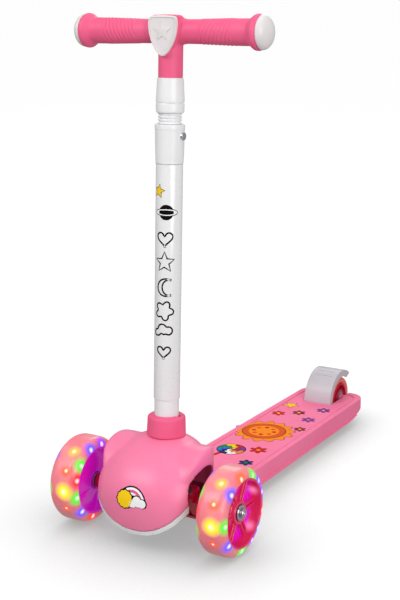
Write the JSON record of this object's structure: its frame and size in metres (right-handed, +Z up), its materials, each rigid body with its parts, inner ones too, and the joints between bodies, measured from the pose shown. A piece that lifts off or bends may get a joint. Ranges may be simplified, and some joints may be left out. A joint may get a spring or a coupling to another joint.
{
  "type": "kick scooter",
  "caption": "Child's lean-steer kick scooter with paired front wheels that glow, a small rear wheel under a foot brake, and a height-adjustable T handlebar.",
  "frame": {"origin": "on the floor under the middle of the scooter's box, on its centre plane", "axes": "-Y is the way it rides, +X is the rider's left, +Z is up"},
  "size_m": [0.2856, 0.6677, 0.6849],
  "materials": {
    "pink_plastic": "satin light pink moulded plastic",
    "deep_pink_plastic": "satin deep pink moulded plastic",
    "grip_rubber": "soft deep pink rubber with slanting grooves",
    "white_paint": "gloss white powder coat on aluminium tube",
    "white_plastic": "satin white plastic",
    "grey_plastic": "satin light grey plastic",
    "crimson_plastic": "matt crimson glass-filled plastic",
    "magenta_rim": "glossy crimson to magenta plastic",
    "wheel_tread": "translucent peach polyurethane",
    "light_ring": "clear plastic carrying small lamps",
    "steel": "plain zinc-plated steel",
    "chrome": "polished chrome"
  },
  "bodies": {
    "frame": {"deck_board": "pink_plastic", "front_base": "white_plastic", "front_cover": "pink_plastic", "deck_screw_1": "steel", "deck_screw_2": "steel", "deck_screw_3": "steel", "deck_screw_4": "steel", "neck_socket": "deep_pink_plastic", "axle_carrier": "crimson_plastic", "kingpin_left": "steel", "kingpin_right": "steel", "centring_spring_left": "steel", "centring_spring_right": "steel", "stem_insert": "white_plastic", "stem_tube": "white_paint", "lock_collar": "white_plastic", "collar_bush": "white_plastic", "lock_button_spring": "steel", "release_spring": "steel", "rear_axle": "steel", "rear_axle_nut": "steel", "rear_spacer": "steel", "brake_pin": "steel", "brake_spring": "steel"},
    "steering_left": {"knuckle_left": "crimson_plastic", "front_axle_left": "chrome", "hub_washer_left": "chrome", "wheel_spacer_left": "steel", "tie_rod_pin_left": "steel"},
    "front_wheel_left": {"front_tyre_left": "wheel_tread", "led_ring_left": "light_ring", "front_rim_left": "magenta_rim", "bearing_outer_left": "steel", "bearing_inner_left": "steel"},
    "steering_right": {"knuckle_right": "crimson_plastic", "front_axle_right": "chrome", "hub_washer_right": "chrome", "wheel_spacer_right": "steel", "tie_rod_pin_right": "steel"},
    "front_wheel_right": {"front_tyre_right": "wheel_tread", "led_ring_right": "light_ring", "front_rim_right": "magenta_rim", "bearing_outer_right": "steel", "bearing_inner_right": "steel"},
    "tie_rod": {"tie_rod": "steel"},
    "rear_wheel": {"rear_tyre": "wheel_tread", "rear_rim": "crimson_plastic", "rear_bearing_left": "steel", "rear_bearing_right": "steel"},
    "brake": {"brake_pedal": "grey_plastic"},
    "handlebar": {"inner_tube": "white_paint", "handle_sleeve": "white_plastic", "handlebar_tee": "deep_pink_plastic", "shield_badge": "white_plastic", "grip_left": "grip_rubber", "grip_right": "grip_rubber", "end_cap_left": "white_plastic", "end_cap_right": "white_plastic"},
    "lock_button": {"lock_button": "chrome"},
    "release_button": {"stem_release_button": "deep_pink_plastic"}
  },
  "joints": [
    {"name": "steer_left", "type": "hinge", "parent": "frame", "child": "steering_left", "pos_m": [0.06, -0.274, 0.05949], "axis": [0, -0.5736, 0.8192], "range_deg": [-10, 10], "stiffness_Nm_per_rad": 12, "deforming": ["centring_spring_left", "centring_spring_right"]},
    {"name": "steer_right", "type": "hinge", "parent": "frame", "child": "steering_right", "pos_m": [-0.06, -0.274, 0.05949], "axis": [0, -0.5736, 0.8192], "range_deg": [-10, 10], "stiffness_Nm_per_rad": 12},
    {"name": "tie_rod_slide", "type": "slide", "parent": "frame", "child": "tie_rod", "axis": [1, 0, 0], "range_m": [-0.0053, 0.0053]},
    {"name": "front_wheel_spin_left", "type": "hinge", "parent": "steering_left", "child": "front_wheel_left", "pos_m": [0.1145, -0.274, 0.05949], "axis": [1, 0, 0], "continuous": true},
    {"name": "front_wheel_spin_right", "type": "hinge", "parent": "steering_right", "child": "front_wheel_right", "pos_m": [-0.1145, -0.274, 0.05949], "axis": [1, 0, 0], "continuous": true},
    {"name": "rear_wheel_spin", "type": "hinge", "parent": "frame", "child": "rear_wheel", "pos_m": [0, 0.298, 0.03569], "axis": [1, 0, 0], "continuous": true},
    {"name": "brake_press", "type": "hinge", "parent": "frame", "child": "brake", "pos_m": [0, 0.245, 0.031], "axis": [-1, 0, 0], "range_deg": [0, 8], "stiffness_Nm_per_rad": 2, "springref_deg": -8.59},
    {"name": "handlebar_height", "type": "slide", "parent": "frame", "child": "handlebar", "axis": [0, 0.033, 0.9995], "range_m": [0, 0.16]},
    {"name": "lock_button_press", "type": "slide", "parent": "frame", "child": "lock_button", "axis": [-1, 0, 0], "range_m": [0, 0.0035], "stiffness_N_per_m": 800, "springref_m": -0.002, "deforming": ["lock_button_spring"]},
    {"name": "stem_release_press", "type": "slide", "parent": "frame", "child": "release_button", "axis": [0, -0.9995, 0.033], "range_m": [0, 0.0035], "stiffness_N_per_m": 800, "springref_m": -0.002, "deforming": ["release_spring"]}
  ],
  "couplings": [
    {"joint": "steer_right", "follows": "steer_left", "ratio": 1},
    {"joint": "tie_rod_slide", "follows": "steer_left", "m_per_rad": -0.03}
  ]
}
